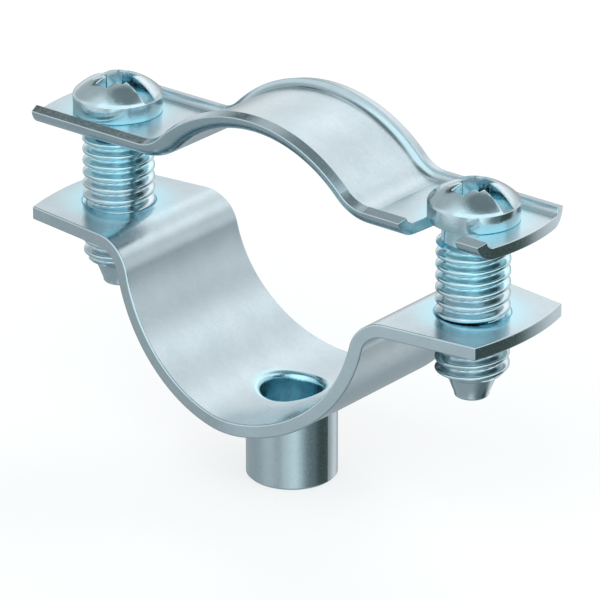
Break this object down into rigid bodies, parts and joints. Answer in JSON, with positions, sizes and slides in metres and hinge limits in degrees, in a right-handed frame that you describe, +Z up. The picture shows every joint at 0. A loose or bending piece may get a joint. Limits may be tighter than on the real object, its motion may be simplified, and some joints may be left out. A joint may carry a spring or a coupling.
{
  "type": "saddle clamp",
  "caption": "Two-part pipe clamp: a lower saddle with a threaded spigot and a strap held by two captive M6 screws, for a pipe about 24 mm across.",
  "frame": {"origin": "centre of the spigot's foot, where the threaded rod enters", "axes": "+Z up along the spigot and the screws, X along the ears, Y along the pipe"},
  "size_m": [0.048, 0.0172, 0.033],
  "materials": {
    "zinc_sheet": "satin",
    "zinc_screw": "satin"
  },
  "bodies": {
    "lower_shell": {"lower_shell": "zinc_sheet"},
    "strap": {"upper_shell": "zinc_sheet", "left_screw": "zinc_screw"},
    "latch": {"right_screw": "zinc_screw"}
  },
  "joints": [
    {"name": "strap_travel", "type": "slide", "parent": "lower_shell", "child": "strap", "axis": [0, 0, 1], "range_m": [-0.007, 0.003]},
    {"name": "latch_travel", "type": "slide", "parent": "lower_shell", "child": "latch", "axis": [0, 0, 1], "range_m": [-0.007, 0.003]}
  ],
  "couplings": [
    {"joint": "latch_travel", "follows": "strap_travel", "ratio": 1}
  ]
}
